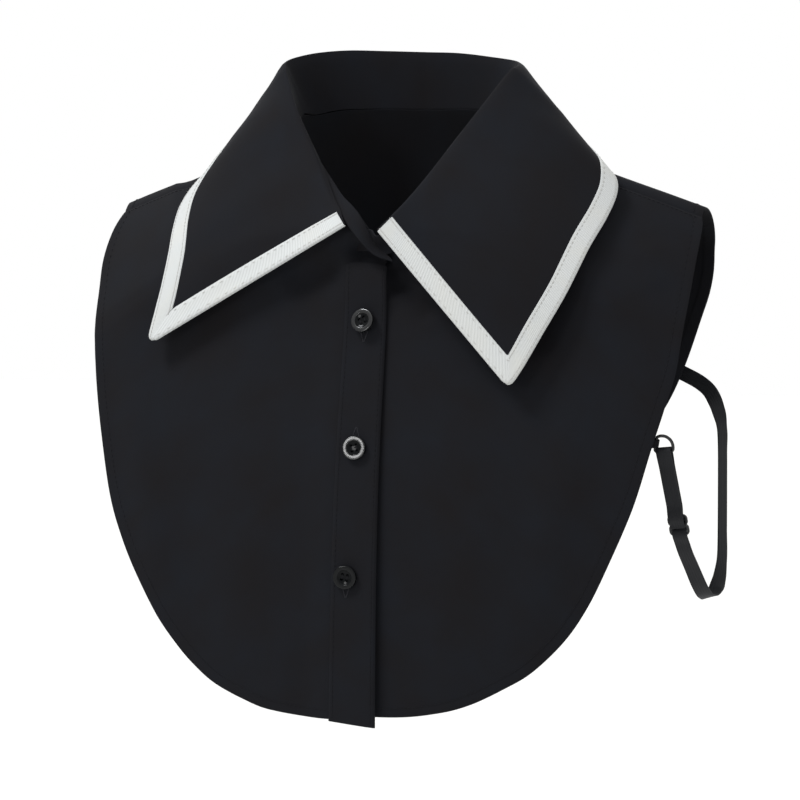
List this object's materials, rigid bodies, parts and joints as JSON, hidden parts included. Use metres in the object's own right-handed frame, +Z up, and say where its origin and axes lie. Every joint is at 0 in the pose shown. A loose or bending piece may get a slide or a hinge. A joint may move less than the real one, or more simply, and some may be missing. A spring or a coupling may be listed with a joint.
{
  "type": "detachable shirt collar",
  "caption": "False shirt collar in dark shirting: short buttoned front and back panels, neck band, pointed fold-down collar with pale ribbon trim, and an elastic strap loop at each side.",
  "frame": {"origin": "middle of the neck opening, level with where the neck meets the shoulders, which is where the wearer's neck and shoulders hold the collar", "axes": "+Z up along the wearer's neck, +X towards the wearer's left shoulder, -Y the way that the buttons face"},
  "size_m": [0.3636, 0.1602, 0.375],
  "materials": {
    "shirting": "matte black woven shirting",
    "ribbon": "off-white ribbed ribbon",
    "button": "polished black plastic",
    "elastic": "smooth black elastic",
    "wire": "black coated wire",
    "slider": "black nylon"
  },
  "bodies": {
    "root": {"back": "shirting", "button_1": "button", "button_2": "button", "button_3": "button", "collar_leaf": "shirting", "collar_trim": "ribbon", "front_left": "shirting", "front_right": "shirting", "neck_band": "shirting", "placket": "shirting", "ring_left": "wire", "ring_right": "wire", "slider_left": "slider", "slider_right": "slider", "strap_left": "elastic", "strap_right": "elastic", "tab_left": "shirting", "tab_right": "shirting"}
  },
  "joints": []
}
